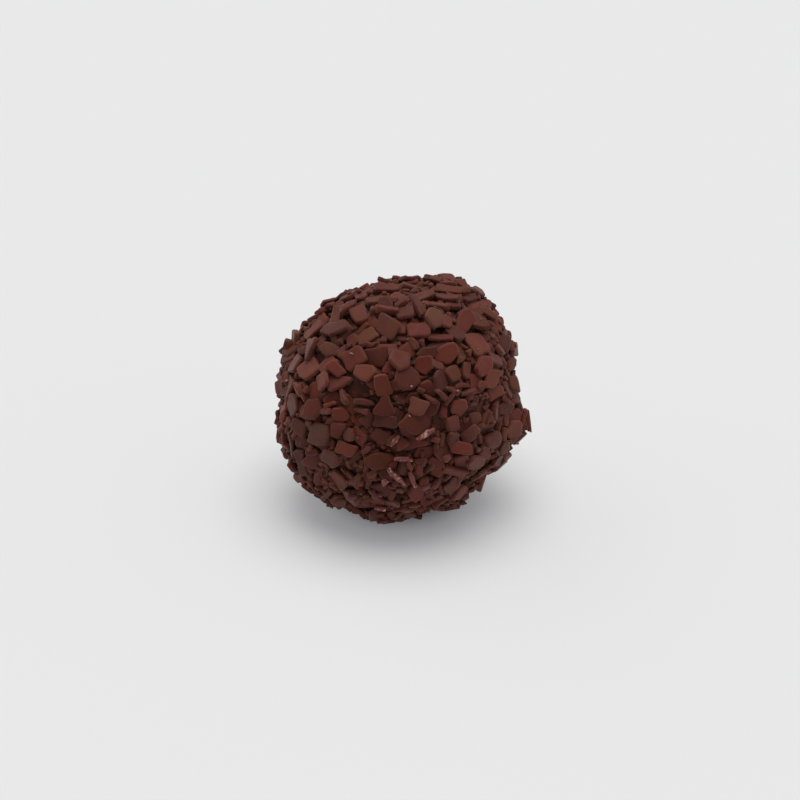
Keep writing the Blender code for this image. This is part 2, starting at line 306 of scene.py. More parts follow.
@dataclass(frozen=True)
class FrontChip:
    """A chip of the front that has a given place.

    Attributes:
        right: Millimetres to the right of the ball's centre, as the viewer sees it.
        up: Millimetres above the ball's centre, as the viewer sees it.
        length: Length as seen, in millimetres.
        width: Width as seen, in millimetres.
        turn: How far the length is turned from level, in degrees.
        cut: The kind of outline.
        look: How light and how brown it is.
    """

    right: float
    up: float
    length: float
    width: float
    turn: float
    cut: Cut = Cut.SQUARE
    look: Look = Look.MIXED


def by_eye(*rows: tuple[Any, ...]) -> tuple[FrontChip, ...]:
    """Chips of the front from their rows of values."""
    return tuple(FrontChip(*row) for row in rows)


FRONT_CHIPS = by_eye(
    (1.1, 2.6, 3.3, 3.2, 0, Cut.ROUND, Look.DUSKY),
    (0.1, 5.0, 2.8, 2.6, 10, Cut.FIVE_SIDED),
    (-3.2, 5.9, 2.9, 2.6, 0, Cut.SQUARE, Look.DUSKY),
    (-4.7, 3.3, 2.3, 2.8, 90, Cut.FIVE_SIDED, Look.LIGHT),
    (-2.3, 1.7, 2.5, 2.5, 15),
    (-1.5, 10.0, 2.8, 2.6, 60),
    (-6.5, 5.6, 3.0, 2.6, 20),
    (-4.3, 8.8, 2.8, 1.8, 25),
    (-8.7, 9.5, 3.9, 1.7, 5, Cut.FIVE_SIDED),
    (-5.6, 11.7, 2.5, 1.9, 20),
    (-2.9, 13.7, 2.9, 1.5, 15),
    (-8.5, 11.3, 2.5, 1.5, 70),
    (-12.0, 9.5, 3.2, 1.5, 28),
    (-10.4, 2.2, 2.2, 2.3, 20, Cut.SQUARE, Look.ROSY),
    (-8.9, 3.9, 1.8, 1.7, 45, Cut.SQUARE, Look.ROSY),
    (-12.8, 3.9, 3.0, 2.3, 50, Cut.SQUARE, Look.LIGHT),
    (-12.2, 6.7, 2.3, 1.7, 80, Cut.TRIANGLE),
    (-9.9, 6.7, 2.1, 1.8, 0, Cut.FIVE_SIDED),
    (3.6, 4.8, 2.3, 2.3, 20, Cut.FIVE_SIDED),
    (5.7, 2.4, 2.9, 2.1, 80, Cut.SIX_SIDED, Look.DARK),
    (7.5, 3.3, 2.1, 1.8, 110),
    (11.8, 4.4, 2.6, 2.1, 75, Cut.FIVE_SIDED),
    (10.8, 7.5, 3.3, 2.5, 115, Cut.SQUARE, Look.LIGHT),
    (6.8, 6.2, 2.5, 2.3, 40, Cut.FIVE_SIDED, Look.ROSY),
    (5.9, 8.1, 2.8, 1.2, -5),
    (8.1, 8.8, 3.0, 1.7, -50),
    (2.9, 9.5, 2.9, 2.2, -4, Cut.SQUARE, Look.RED),
    (4.8, 10.7, 2.8, 2.5, 15, Cut.FIVE_SIDED),
    (9.2, 10.7, 2.5, 2.2, 100, Cut.FIVE_SIDED),
    (0.9, 11.6, 2.5, 1.9, 0),
    (2.5, 12.6, 3.2, 1.1, -63),
    (6.7, 13.7, 3.9, 0.8, -30),
    (6.7, 14.6, 3.3, 1.0, -22),
    (13.6, 0.6, 2.3, 1.7, 20),
    (12.9, 2.6, 2.8, 1.5, 70),
    (-11.2, -5.2, 3.4, 2.5, 82),
    (-12.0, -1.7, 2.5, 2.2, 100, Cut.FIVE_SIDED),
    (-8.2, -2.3, 1.9, 1.9, 20, Cut.FIVE_SIDED, Look.RED),
    (-8.7, -4.5, 2.1, 1.8, 60),
    (-7.3, -7.3, 2.8, 1.4, -8),
    (-2.5, -5.7, 2.5, 2.2, 0, Cut.FIVE_SIDED),
    (-1.9, -3.6, 2.6, 2.1, 0, Cut.SQUARE, Look.DARK),
    (-2.0, -1.2, 2.2, 2.1, 30, Cut.TRIANGLE),
    (-5.6, -0.9, 2.5, 1.0, -6),
    (-13.1, -8.7, 4.4, 1.1, 88),
    (-14.6, -6.4, 3.7, 0.9, 82),
    (-9.4, -8.4, 2.5, 1.7, -30),
    (-8.5, -11.7, 3.0, 1.8, -62),
    (-2.9, -9.0, 3.6, 1.8, -10, Cut.FIVE_SIDED, Look.DUSKY),
    (2.2, -3.6, 4.1, 2.8, 0, Cut.FIVE_SIDED, Look.DUSKY),
    (2.7, -1.3, 2.5, 2.2, -15),
    (8.6, -1.4, 2.3, 2.3, 30, Cut.FIVE_SIDED, Look.ROSY),
    (7.6, -3.9, 2.1, 1.8, -70),
    (10.2, -5.2, 2.9, 1.8, 65, Cut.FIVE_SIDED),
    (13.3, -6.0, 2.3, 2.1, 20),
    (10.5, -9.0, 2.5, 1.9, 0, Cut.FIVE_SIDED),
    (8.5, -7.1, 2.5, 1.5, 0),
    (8.1, -10.3, 2.9, 1.5, -10),
    (7.6, -12.8, 2.2, 2.1, 40),
    (2.3, -13.6, 2.2, 1.9, 80, Cut.FIVE_SIDED),
    (15.6, -4.3, 2.5, 1.8, 78, Cut.FIVE_SIDED),
    (-7.9, 14.5, 2.5, 1.5, 12, Cut.FIVE_SIDED),
    (-14.6, 4.8, 2.8, 1.7, 72),
    (6.6, 10.6, 1.9, 1.4, 80),
    (5.1, 16.0, 3.6, 1.2, -4),
    (-1.7, 15.5, 3.4, 1.4, 18),
    (10.8, 14.3, 1.8, 1.8, 0, Cut.FIVE_SIDED),
    (-4.6, -3.3, 1.7, 1.7, 45),
    (-7.1, -5.5, 1.9, 1.8, 0, Cut.FIVE_SIDED),
    (7.5, -5.7, 1.7, 1.4, -20),
    (5.4, -9.4, 1.9, 1.5, 0, Cut.FIVE_SIDED),
    (-15.0, -1.2, 3.0, 1.9, 80, Cut.FIVE_SIDED),
    (-5.0, 15.6, 1.7, 1.2, 35),
    (-1.9, 13.1, 1.9, 1.4, 10),
)

# Chips of the front that stand on edge, so that they show as strips
FRONT_STRIPS = by_eye(
    (-15.1, -7.0, 3.9, 0.7, 84),
    (-13.7, -1.9, 1.8, 0.6, 80),
    (-9.8, -1.1, 1.7, 0.6, 25),
    (-9.8, -2.1, 1.9, 0.7, 10),
    (-7.6, -0.2, 1.9, 0.7, -62),
    (-6.1, 1.0, 2.2, 0.8, -75),
    (-5.1, -0.8, 2.5, 0.7, -10),
    (-5.0, -1.9, 2.2, 0.7, -12),
    (-0.8, -6.3, 1.9, 0.8, 50),
    (0.4, -8.4, 2.5, 0.7, 0),
    (-7.0, -9.6, 1.7, 0.7, 85),
    (2.9, 14.5, 4.1, 0.8, 8),
    (5.9, 13.0, 2.8, 0.7, -25),
    (1.5, 15.7, 2.8, 0.8, 5),
    (-3.3, 11.6, 2.1, 0.7, 12),
    (-7.2, 12.3, 3.3, 0.7, 62),
    (-1.7, 11.6, 2.8, 0.7, 8),
    (0.6, 13.0, 2.2, 0.8, 18),
    (13.9, -2.1, 3.0, 0.8, 82),
    (14.7, -3.7, 2.8, 0.7, 76),
    (16.8, -2.9, 3.6, 1.0, 84),
    (15.8, -5.1, 2.2, 0.8, 60),
    (5.7, 0.6, 1.7, 0.7, -35),
    (9.9, 1.0, 1.7, 0.7, 15),
    (11.7, 1.5, 1.5, 0.7, 70),
    (-11.3, -10.9, 2.5, 0.8, 70),
    (-9.6, -13.1, 2.2, 0.8, 50),
    (-4.5, -12.3, 1.9, 0.7, 80),
    (4.3, -10.1, 2.2, 0.7, 60),
    (5.8, -14.9, 2.5, 0.8, 15),
    (-5.4, -14.9, 2.5, 0.8, -20),
    (-0.1, -15.8, 2.2, 0.8, 10),
)

# Shiny sticks that were pressed out of the fudge, low down on the front
GLOSSY_STICKS = by_eye(
    (-0.2, -10.9, 4.1, 0.75, -53, Cut.SIX_SIDED),
    (1.9, -11.4, 2.4, 0.7, -65, Cut.SIX_SIDED),
    (-1.9, -11.7, 1.3, 0.8, 60, Cut.FIVE_SIDED),
    (-2.5, -14.9, 1.7, 0.7, -20, Cut.SIX_SIDED),
    (3.6, -5.1, 3.0, 0.7, 28, Cut.SIX_SIDED),
    (0.6, -8.6, 2.6, 0.6, -8, Cut.SIX_SIDED),
    (-0.6, -6.0, 1.9, 0.5, 52, Cut.SIX_SIDED),
)

# Splinters that lie every way about, low down on the front
FRONT_SPLINTERS = by_eye(
    (-4.6, -9.7, 1.5, 0.6, 75),
    (-3.6, -10.6, 1.2, 0.8, 20),
    (1.4, -9.4, 1.3, 0.5, -60),
    (3.3, -9.2, 1.6, 0.6, 65),
    (3.6, -12.3, 1.2, 0.9, 10),
    (0.2, -13.3, 1.4, 0.7, -35),
    (-1.0, -13.9, 1.1, 0.8, 60),
    (-3.4, -13.3, 1.5, 0.6, -50),
    (-5.6, -11.3, 1.6, 0.6, 85),
    (4.9, -12.1, 1.4, 0.7, 40),
    (-0.9, -9.6, 1.1, 0.7, 30),
    (-6.2, -13.3, 1.3, 0.7, 15),
    (2.2, -15.2, 1.5, 0.6, 20),
    (-2.2, -16.2, 1.4, 0.6, -10),
    (6.4, -8.4, 1.2, 0.7, 50),
    (-4.4, -7.4, 1.2, 0.6, 35),
    (8.9, 1.6, 2.2, 0.6, 5),
    (10.0, 0.2, 1.3, 0.5, 55),
    (16.2, -3.0, 2.8, 0.8, 86),
    (17.2, -3.2, 2.9, 0.8, 84),
)

# Crumbs that fill the gap at the upper left of the outline
WEDGED_CRUMBS = by_eye(
    (-15.1, 6.4, 1.7, 1.4, 40),
    (-14.8, 7.2, 1.5, 1.1, 60),
)

# Pale specks on the front, partly painted glints
FRONT_SPECKS = by_eye(
    (1.7, 1.4, 0.36, 0.24, 30),
    (-0.3, 0.0, 0.28, 0.24, 0),
    (1.1, -1.4, 0.32, 0.2, 70),
    (-14.0, -0.3, 0.32, 0.24, 20),
    (-15.4, 2.2, 0.28, 0.24, 50),
    (12.8, -6.7, 0.4, 0.24, 60),
    (9.0, 7.2, 0.28, 0.2, 10),
    (11.0, 9.1, 0.28, 0.2, 80),
    (7.9, 0.8, 0.32, 0.24, 35),
    (3.9, -4.9, 0.48, 0.36, 40, Cut.FIVE_SIDED),
    (-6.5, 6.0, 0.56, 0.2, -15),
    (-1.9, -11.5, 0.4, 0.24, 30),
    (-2.4, -15.0, 0.48, 0.24, 15),
    (0.3, -11.6, 0.4, 0.2, -50),
)


@dataclass(frozen=True)
class Layer:
    """A loose layer of chips.

    Attributes:
        count: How many chips it has.
        shortest: Length of the shortest chip.
        longest: Length of the longest chip.
        narrow: Width of the narrowest chip as a share of its length.
        wide: Width of the widest chip as a share of its length.
        tries: How many places are tried for each chip, of which the lowest wins.
    """

    count: int
    shortest: float
    longest: float
    narrow: float
    wide: float
    tries: int


@dataclass(frozen=True)
class ChipCutter:
    """Cuts the outlines of flat chips.

    Attributes:
        corner_shift: How unevenly the corners stand round a chip, as a share of their distance.
        corner_reach: How far out a corner stands, from and to, as a share of the even outline.
        cuts: The kinds of outline among the loose chips.
        odds: How often each kind is drawn.
        most_stretch: How far a chip seen at a slant is drawn out at most.
    """

    corner_shift: float = 0.20
    corner_reach: tuple[float, float] = (0.90, 1.04)
    cuts: tuple[Cut, ...] = (Cut.TRIANGLE, Cut.SQUARE, Cut.FIVE_SIDED, Cut.SIX_SIDED)
    odds: tuple[float, ...] = (0.10, 0.50, 0.32, 0.08)
    most_stretch: float = 1.5

    def outline(self, draws: np.random.Generator, length: float, width: float, corners: int) -> np.ndarray:
        """Corners of a chip on a flat table, anticlockwise.

        Args:
            draws: The seeded source of chance.
            length: The chip's length.
            width: The chip's width.
            corners: How many corners it has.

        Returns:
            One corner in each row.
        """
        turn = np.arange(corners) + 0.5 + draws.uniform(-self.corner_shift, self.corner_shift, corners)
        turn *= WHOLE_TURN / corners
        out = draws.uniform(*self.corner_reach, corners) / math.cos(math.pi / corners)
        return 0.5 * np.column_stack((length * out * np.cos(turn), width * out * np.sin(turn)))

    def laid_against(self, towards: np.ndarray, seen: np.ndarray, right: float, up: float) -> np.ndarray:
        """An outline as it is seen, drawn out where the ball turns away from the viewer.

        Args:
            towards: Direction from the ball's centre to the chip.
            seen: The outline in the picture's own axes, about the chip's middle.
            right: Where the chip is seen, to the right of the ball's centre.
            up: Where the chip is seen, above the ball's centre.

        Returns:
            The outline in the two axes on the ball at the chip.
        """
        across, along = axes_on_the_ball(towards)
        away = unit(np.array((right, up)))
        outwards = away[0] * TO_THE_RIGHT + away[1] * UPWARDS
        outwards = unit(outwards - (outwards @ towards) * towards)
        sideways = np.cross(towards, outwards)
        stretch = min(1 / max(towards @ TO_THE_VIEWER, SMALLEST), self.most_stretch)
        far = stretch * (seen @ away)
        beside = seen @ np.array((-away[1], away[0]))
        points = far[:, None] * outwards + beside[:, None] * sideways
        return np.column_stack((points @ across, points @ along))


@dataclass(frozen=True)
class Chip:
    """A chip where it has settled, seen from the ball's centre.

    Attributes:
        underside: Corners of the face that it lies on, anticlockwise from outside.
        normal: Direction that its upper face looks in.
        thickness: Distance between its two faces.
        look: How light and how brown it is.
    """

    underside: np.ndarray
    normal: np.ndarray
    thickness: float
    look: Look = Look.MIXED


class Coat:
    """How far the sweet reaches in many directions from its centre, as chips land on it.

    Attributes:
        RAYS: How many directions there are.
        MOST_SLOPE: How steeply a chip tips at most.
        KEEP_CLEAR: How much a loose chip is kept away from chips of the front, as a height.
        FEWEST_RAYS: How many rays a chip covers at least.
        SEARCHED_BEYOND: How far covered rays are looked for, as a share of the chip's reach.
    """

    RAYS = 40000
    MOST_SLOPE = 0.55
    KEEP_CLEAR = 0.003
    FEWEST_RAYS = 3
    SEARCHED_BEYOND = 1.2

    def __init__(self, form: BallForm, cutter: ChipCutter) -> None:
        """Starts from the bare fudge.

        Args:
            form: The ball's form.
            cutter: What cuts the chips.
        """
        self.form = form
        self.cutter = cutter
        self.rays = spread_directions(self.RAYS)
        self.fudge = form.fudge_reach(self.rays)
        self.reach = self.fudge.copy()
        self.kept_clear = np.zeros(self.RAYS, bool)

    def under(self, towards: np.ndarray, outline: np.ndarray) -> np.ndarray:
        """Numbers of the rays that an outline covers when it lies against the ball.

        Args:
            towards: Direction to the outline's middle.
            outline: Corners in the axes on the ball there.

        Returns:
            The numbers of the rays.
        """
        across, along = axes_on_the_ball(towards)
        widest = np.hypot(outline[:, 0], outline[:, 1]).max()
        angle = self.SEARCHED_BEYOND * widest / self.form.radius
        near = np.flatnonzero(self.rays @ towards > math.cos(angle))
        points = self.rays[near] * self.reach[near, None]
        right, up = points @ across, points @ along
        inside = np.ones(len(near), bool)
        for start, end in zip(outline, np.roll(outline, -1, axis=0)):
            side = end - start
            inside &= side[0] * (up - start[1]) > side[1] * (right - start[0])
        if inside.sum() >= self.FEWEST_RAYS:
            return near[inside]
        return np.argsort(-(self.rays @ towards))[: self.FEWEST_RAYS]

    def settle(
        self, towards: np.ndarray, outline: np.ndarray, bedding: Bedding, draws: np.random.Generator
    ) -> Chip:
        """Lets a chip come down on what is there, tip over onto it, and become the ground there.

        Args:
            towards: Direction from the ball's centre to the chip.
            outline: Corners in the axes on the ball there.
            bedding: How the chip lies.
            draws: The seeded source of chance.

        Returns:
            The chip in its place.
        """
        thickness = draws.uniform(bedding.thinnest, bedding.thickest)
        across, along = axes_on_the_ball(towards)
        covered = self.under(towards, outline)
        points = self.rays[covered] * self.reach[covered, None]
        places = np.column_stack((points @ across, points @ along, np.ones(len(covered))))
        slope = np.linalg.lstsq(places, points @ towards, rcond=None)[0][:2]
        slope += draws.normal(0, bedding.lean, 2)
        slope *= min(1.0, self.MOST_SLOPE / max(math.hypot(*slope), SMALLEST))
        normal = unit(towards - slope[0] * across - slope[1] * along)
        level = np.quantile(points @ normal, bedding.rests_above) - bedding.pressed_in
        top = (level + thickness) / (self.rays[covered] @ normal)
        self.reach[covered] = np.maximum(self.reach[covered], top)
        flat = outline[:, :1] * across + outline[:, 1:] * along
        drop = (level - flat @ normal) / (towards @ normal)
        return Chip(flat + drop[:, None] * towards, normal, thickness)

    def lay_in_place(
        self, draws: np.random.Generator, chips: tuple[FrontChip, ...], bedding: Bedding
    ) -> list[Chip]:
        """Lays chips of the front, one by one, in their places.

        Args:
            draws: The seeded source of chance.
            chips: Where the chips are seen.
            bedding: How they lie.

        Returns:
            The chips in the order in which they were laid.
        """
        laid = []
        for chip in chips:
            right, up, length, width = (v * MM for v in (chip.right, chip.up, chip.length, chip.width))
            towards = self.form.seen_at(right, up)
            seen = turned(self.cutter.outline(draws, length, width, chip.cut.value), math.radians(chip.turn))
            outline = self.cutter.laid_against(towards, seen, right, up)
            self.kept_clear[self.under(towards, outline)] = True
            laid.append(replace(self.settle(towards, outline, bedding, draws), look=chip.look))
        return laid

    def lay_loose(
        self, draws: np.random.Generator, layer: Layer, bedding: Bedding = LOOSE
    ) -> list[Chip]:
        """Lays a loose layer: each chip goes where the coat is lowest of a few places tried.

        Args:
            draws: The seeded source of chance.
            layer: How many chips there are, and of what size.
            bedding: How they lie.

        Returns:
            The chips in the order in which they were laid.
        """
        cuts = tuple(cut.value for cut in self.cutter.cuts)
        laid = []
        for _ in range(layer.count):
            length = draws.uniform(layer.shortest, layer.longest)
            width = length * draws.uniform(layer.narrow, layer.wide)
            outline = self.cutter.outline(draws, length, width, draws.choice(cuts, p=self.cutter.odds))
            outline = turned(outline, draws.uniform(0, WHOLE_TURN))
            lowest, chosen = math.inf, UPWARDS
            for towards in draws.normal(size=(layer.tries, 3)):
                towards = unit(towards)
                covered = self.under(towards, outline)
                depth = (self.reach[covered] - self.fudge[covered]).mean()
                depth += self.KEEP_CLEAR * self.kept_clear[covered].mean()
                if depth < lowest:
                    lowest, chosen = depth, towards
            laid.append(self.settle(chosen, outline, bedding, draws))
        return laid


class Footing:
    """What small bits lie on: the fudge, and the chips as plain slabs without their worn corners.

    Attributes:
        SLAB_SHARE: How wide a slab is, as a share of its chip.
        MOST_GAP: How far a bit may stand off what is under it.
        PRESSED_IN: How deep a bit that is brought down presses in.
        START_BELOW: How far under a bit the search for its ground starts.
        GOES: How many times a bit is brought down at most.
        PROBE_SHARE: Where a bit is tested, as a share of the way from its middle to each corner.
    """

    SLAB_SHARE = 0.86
    MOST_GAP = 0.00006
    PRESSED_IN = 0.00006
    START_BELOW = 0.00001
    GOES = 4
    PROBE_SHARE = 0.7

    def __init__(self, form: BallForm, chips: list[Chip]) -> None:
        """Makes the slabs.

        Args:
            form: The ball's form.
            chips: The chips that are there.
        """
        self.form = form
        self.floor = form.floor()
        points, faces = [], []
        for chip in chips:
            low, count = len(points), len(chip.underside)
            high = low + count
            middle = chip.underside.mean(axis=0)
            slab = middle + self.SLAB_SHARE * (chip.underside - middle)
            points.extend(slab)
            points.extend(slab + chip.thickness * chip.normal)
            faces.append(tuple(range(high - 1, low - 1, -1)))
            faces.append(tuple(range(high, high + count)))
            for k in range(count):
                j = (k + 1) % count
                faces.append((low + k, low + j, high + j, high + k))
        self.slabs = BVHTree.FromPolygons([Vector(point) for point in points], faces)

    def gap_under(self, chip: Chip) -> float:
        """How far a chip stands off what is under it.

        Args:
            chip: The chip in its place.

        Returns:
            The gap where it is narrowest, or 0 where the chip reaches in.
        """
        middle = chip.underside.mean(axis=0)
        probes = np.vstack((middle, middle + self.PROBE_SHARE * (chip.underside - middle)))
        away = np.linalg.norm(probes, axis=1)
        gaps = list(away - self.form.fudge_reach(probes / away[:, None]))
        inwards = Vector(-chip.normal)
        for probe in probes:
            _, facing, _, distance = self.slabs.ray_cast(Vector(probe) + self.START_BELOW * inwards, inwards)
            if facing is not None:
                gaps.append(0.0 if facing.dot(inwards) > 0 else distance)
        return max(0.0, min(gaps))

    def landed(self, bits: list[Chip]) -> list[Chip]:
        """Brings down the bits that hang in the air, and leaves out those that would be under the floor.

        Args:
            bits: Small chips where the coat's rough height had them.

        Returns:
            Those that are kept, each touching something.
        """
        kept = []
        for bit in bits:
            for _ in range(self.GOES):
                gap = self.gap_under(bit)
                if gap > self.MOST_GAP:
                    bit = replace(bit, underside=bit.underside - (gap + self.PRESSED_IN) * bit.normal)
            lowest = min(bit.underside[:, 2].min(), (bit.underside + bit.thickness * bit.normal)[:, 2].min())
            if lowest > self.floor and self.gap_under(bit) <= self.MOST_GAP:
                kept.append(bit)
        return kept


@dataclass
class MeshHeap:
    """Points, faces and marks of many small bodies that end up as one mesh.

    Attributes:
        points: Arrays of points, one for each body.
        faces: Faces as tuples of point numbers.
        marks: For each named mark, arrays with one value for each point.
        size: How many points there are.
    """

    points: list[np.ndarray] = field(default_factory=list)
    faces: list[tuple[int, ...]] = field(default_factory=list)
    marks: dict[str, list[np.ndarray]] = field(default_factory=dict)
    size: int = 0

    def add(self, points: np.ndarray, faces: list[tuple[int, ...]], **marks: np.ndarray) -> None:
        """Adds one body.

        Args:
            points: One point in each row.
            faces: Faces as tuples of point numbers, counted within this body.
            **marks: One value for each point, by the mark's name.
        """
        self.faces.extend(tuple(corner + self.size for corner in face) for face in faces)
        self.points.append(points)
        for name, values in marks.items():
            self.marks.setdefault(name, []).append(values)
        self.size += len(points)

    def to_object(self, name: str) -> bpy.types.Object:
        """Makes the one mesh object, shaded smooth, and links it to the scene.

        Args:
            name: The object's name.

        Returns:
            The new object.
        """
        mesh = bpy.data.meshes.new(name)
        mesh.from_pydata(np.vstack(self.points).tolist(), [], self.faces)
        for mark, values in self.marks.items():
            attribute = mesh.attributes.new(mark, "FLOAT", "POINT")
            attribute.data.foreach_set("value", np.concatenate(values).astype(np.float32))
        mesh.shade_smooth()
        mesh.update()
        return in_scene(name, mesh)


@dataclass(frozen=True)
class ChipMould:
    """Turns a settled chip into a solid one with soft edges.

    Attributes:
        corner_share: How much of its shorter side a corner's rounding takes.
        corner_spread: Least and greatest part of that share which chance gives a corner.
        corner_steps: Points along the rounding of a corner.
        edge_radius: Radius of the rounded edges of the faces.
        most_edge: How much of a chip's thickness that radius takes at most.
        edge_steps: Steps over a rounded edge.
        face_rings: Shares of the outline at which the upper face has a ring of points.
        bow: How much the ends of a chip bend out of its plane, for each length squared.
        side_wave: How far the middle of a side stands in or out, as a share of its length.
    """

    corner_share: float = 0.15
    corner_spread: tuple[float, float] = (0.75, 1.25)
    corner_steps: int = 4
    edge_radius: float = 0.00012
    most_edge: float = 0.42
    edge_steps: int = 2
    face_rings: tuple[float, ...] = (0.80, 0.45)
    bow: float = 22.0
    side_wave: float = 0.035

    def rounded(self, corners: np.ndarray, draws: np.random.Generator) -> np.ndarray:
        """The outline with its corners rounded and its sides a little uneven.

        Args:
            corners: Corners of the flat outline, anticlockwise.
            draws: The seeded source of chance.

        Returns:
            The points of the finer outline.
        """
        before, after = np.roll(corners, 1, axis=0), np.roll(corners, -1, axis=0)
        points = []
        for corner, last, following in zip(corners, before, after):
            back, ahead = last - corner, following - corner
            share = self.corner_share * draws.uniform(*self.corner_spread)
            cut = share * min(np.linalg.norm(back), np.linalg.norm(ahead))
            start, end = corner + unit(back) * cut, corner + unit(ahead) * cut
            for t in np.linspace(0, 1, self.corner_steps):
                points.append((1 - t) ** 2 * start + 2 * t * (1 - t) * corner + t**2 * end)
            middle = corner + 0.5 * ahead
            outwards = np.array((ahead[1], -ahead[0]))
            points.append(middle + outwards * draws.normal(0, self.side_wave))
        return np.array(points)

    def cast(
        self, chip: Chip, heap: MeshHeap, draws: np.random.Generator, floor: float, **marks: float
    ) -> None:
        """Adds a chip to a heap.

        Args:
            chip: The chip in its place.
            heap: The heap that it joins.
            draws: The seeded source of chance.
            floor: Height of the floor seen from the ball's centre; what lies lower is pressed flat.
            **marks: The chip's own values, by the mark's name.
        """
        middle = chip.underside.mean(axis=0)
        first = unit(chip.underside[0] - middle)
        second = np.cross(chip.normal, first)
        flat = (chip.underside - middle) @ np.column_stack((first, second))
        outline = self.rounded(flat, draws)
        steps = len(outline)
        ahead = np.roll(outline, -1, axis=0) - np.roll(outline, 1, axis=0)
        outwards = np.column_stack((ahead[:, 1], -ahead[:, 0]))
        outwards /= np.linalg.norm(outwards, axis=1)[:, None]
        edge = min(self.edge_radius, self.most_edge * chip.thickness)
        rings, heights, rims = [], [], []
        lower, upper = (0, math.pi / 2, 0.0, 1), (math.pi / 2, 0, chip.thickness, -1)
        for start, end, face, way in (lower, upper):
            for turn in np.linspace(start, end, self.edge_steps + 1):
                rings.append(outline - outwards * edge * (1 - math.sin(turn)))
                heights.append(face + way * edge * (1 - math.cos(turn)))
                rims.append(math.sin(turn))
        for share in self.face_rings:
            rings.append(share * (outline - outwards * edge))
            heights.append(chip.thickness)
            rims.append(0.0)
        places = np.vstack(rings + [np.zeros((2, 2))])
        height = np.concatenate((np.repeat(heights, steps), (0.0, chip.thickness)))
        rim = np.concatenate((np.repeat(rims, steps), (0.0, 0.0)))
        bend = draws.normal(0, self.bow, 3)
        height = height + bend[0] * places[:, 0] ** 2 + bend[1] * places[:, 1] ** 2
        height = height + bend[2] * places[:, 0] * places[:, 1]
        points = middle + places[:, :1] * first + places[:, 1:] * second + height[:, None] * chip.normal
        points[:, 2] = np.maximum(points[:, 2], floor)
        under, over = len(points) - 2, len(points) - 1
        faces = []
        for k in range(steps):
            j = (k + 1) % steps
            faces.append((under, j, k))
            for ring in range(len(rings) - 1):
                low, high = ring * steps, (ring + 1) * steps
                faces.append((low + k, low + j, high + j, high + k))
            last = (len(rings) - 1) * steps
            faces.append((last + k, last + j, over))
        own = {name: np.full(len(points), value) for name, value in marks.items()}
        heap.add(points, faces, rim=rim, **own)


# How worn each kind of chip is
BROAD = ChipMould(corner_share=0.24, edge_radius=0.00018)
PLAIN = ChipMould(corner_share=0.20, corner_steps=3, edge_steps=1, face_rings=(0.75,))
STRIP = ChipMould(corner_share=0.32, edge_radius=0.00020)
SLAT = ChipMould(corner_share=0.32, corner_steps=3, edge_radius=0.00018)
STICK = ChipMould(corner_share=0.40, edge_radius=0.00025, edge_steps=3)
PELLET = ChipMould(corner_share=0.35, corner_steps=3, edge_steps=1, face_rings=(0.6,))


class Shade:
    """One output of a shader node. Arithmetic on it adds Math nodes."""

    def __init__(self, bench: "NodeBench", socket: bpy.types.NodeSocket) -> None:
        """Wraps a socket.

        Args:
            bench: The bench that the node stands on.
            socket: The output to wrap.
        """
        self.bench = bench
        self.socket = socket

    def _with(self, operation: str, first: "Shade | float", second: "Shade | float") -> "Shade":
        """A Math node on two values."""
        return self.bench.node("ShaderNodeMath", {"operation": operation}, {0: first, 1: second})

    def __add__(self, other: "Shade | float") -> "Shade":
        """The sum."""
        return self._with("ADD", self, other)

    def __radd__(self, other: "Shade | float") -> "Shade":
        """The sum, reflected."""
        return self._with("ADD", other, self)

    def __sub__(self, other: "Shade | float") -> "Shade":
        """The difference."""
        return self._with("SUBTRACT", self, other)

    def __rsub__(self, other: "Shade | float") -> "Shade":
        """The difference, reflected."""
        return self._with("SUBTRACT", other, self)

    def __mul__(self, other: "Shade | float") -> "Shade":
        """The product."""
        return self._with("MULTIPLY", self, other)

    def __rmul__(self, other: "Shade | float") -> "Shade":
        """The product, reflected."""
        return self._with("MULTIPLY", other, self)

    def __pow__(self, other: "Shade | float") -> "Shade":
        """The power."""
        return self._with("POWER", self, other)


@dataclass(frozen=True)
class Grain:
    """Soft noise over a surface.

    Attributes:
        scale: How many patches it has to a metre.
        detail: How many finer layers it has.
        roughness: How much each finer layer counts against the one before.
        low: Value of the noise up to which patches made of it are empty.
        high: Value from which they are full.
    """

    scale: float
    detail: float = 3.0
    roughness: float = 0.55
    low: float = 0.35
    high: float = 0.65


